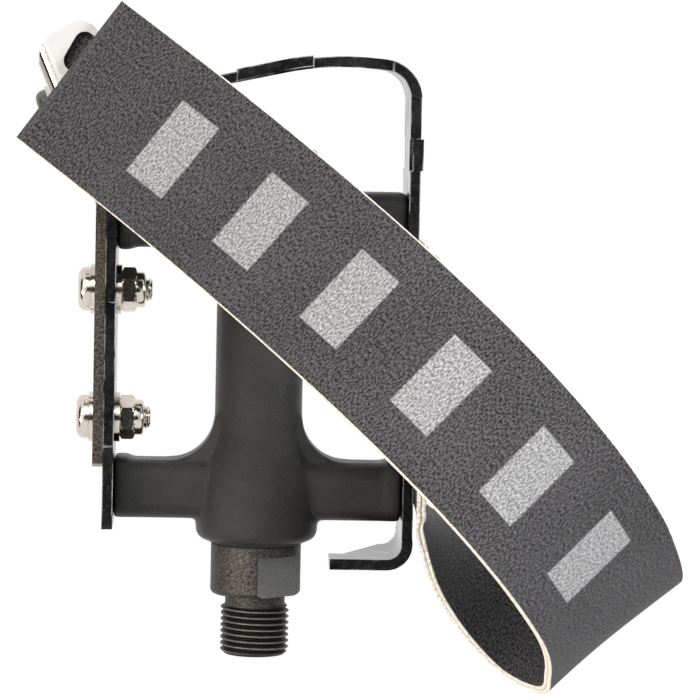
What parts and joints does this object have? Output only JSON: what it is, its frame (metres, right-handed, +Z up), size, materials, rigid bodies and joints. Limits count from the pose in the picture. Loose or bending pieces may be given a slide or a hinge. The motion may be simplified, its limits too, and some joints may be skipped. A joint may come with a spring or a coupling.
{
  "type": "bicycle pedal",
  "caption": "Right-hand platform pedal with a toothed steel cage on a cast body, a crank-thread spindle in ball bearings and a wide diagonal toe strap held by a front bracket",
  "frame": {"origin": "On the spindle axis, at the face where the crank thread meets the neck", "axes": "+X to the rear of the bicycle, +Y outboard along the spindle, +Z up; millimetres in the source, metres in the row"},
  "size_m": [0.1373, 0.1396, 0.0783],
  "materials": {
    "body_paint": "satin black on a smooth casting",
    "cage_paint": "semi-gloss black on sheet steel",
    "screw_steel": "blackened steel",
    "spindle_steel": "dark satin machined steel",
    "bearing_steel": "ground bearing steel",
    "ball_steel": "polished balls",
    "zinc_steel": "zinc-plated steel",
    "cap_plastic": "black moulded plastic",
    "seal_rubber": "soft black rubber",
    "strap_webbing": "two charcoal woven plies with cream cut edges",
    "bracket_chrome": "bright plate with rounded edges",
    "clamp_paint": "satin black plate",
    "nickel_steel": "warm nickel plate",
    "nylon": "natural nylon"
  },
  "bodies": {
    "spindle": {"spindle": "spindle_steel", "bearing_cone": "bearing_steel", "lock_washer": "zinc_steel", "lock_nut": "zinc_steel"},
    "inboard_row": {"inboard_balls": "ball_steel"},
    "outboard_row": {"outboard_balls": "ball_steel"},
    "pedal": {"pedal_body": "body_paint", "cage": "cage_paint", "cage_screw_front_inboard": "screw_steel", "cage_screw_front_outboard": "screw_steel", "cage_screw_rear_inboard": "screw_steel", "cage_screw_rear_outboard": "screw_steel", "inboard_cup": "bearing_steel", "outboard_cup": "bearing_steel", "dust_cap": "cap_plastic", "dust_seal": "seal_rubber", "strap": "strap_webbing", "front_bracket": "bracket_chrome", "bracket_bolt_inboard": "nickel_steel", "bracket_bolt_outboard": "nickel_steel", "eye_bolt": "nickel_steel", "head_washer_inboard": "nickel_steel", "head_washer_outboard": "nickel_steel", "head_washer_eye": "nickel_steel", "nut_washer_inboard": "nickel_steel", "nut_washer_outboard": "nickel_steel", "nut_washer_eye": "nickel_steel", "bracket_nut_inboard": "nickel_steel", "bracket_nut_outboard": "nickel_steel", "eye_nut": "nickel_steel", "nut_ring_inboard": "nylon", "nut_ring_outboard": "nylon", "nut_ring_eye": "nylon", "strap_clamp": "clamp_paint", "strap_bolt_inboard": "nickel_steel", "strap_bolt_outboard": "nickel_steel", "strap_washer_inboard": "nickel_steel", "strap_washer_outboard": "nickel_steel", "strap_nut_inboard": "nickel_steel", "strap_nut_outboard": "nickel_steel", "strap_ring_inboard": "nylon", "strap_ring_outboard": "nylon"}
  },
  "joints": [
    {"name": "pedal_spin", "type": "hinge", "parent": "spindle", "child": "pedal", "pos_m": [0, 0.05, 0], "axis": [0, 1, 0], "continuous": true},
    {"name": "inboard_row_spin", "type": "hinge", "parent": "spindle", "child": "inboard_row", "pos_m": [0, 0.0198, 0], "axis": [0, 1, 0], "continuous": true},
    {"name": "outboard_row_spin", "type": "hinge", "parent": "spindle", "child": "outboard_row", "pos_m": [0, 0.0825, 0], "axis": [0, 1, 0], "continuous": true}
  ],
  "couplings": [
    {"joint": "inboard_row_spin", "follows": "pedal_spin", "ratio": 0.592},
    {"joint": "outboard_row_spin", "follows": "pedal_spin", "ratio": 0.606}
  ]
}
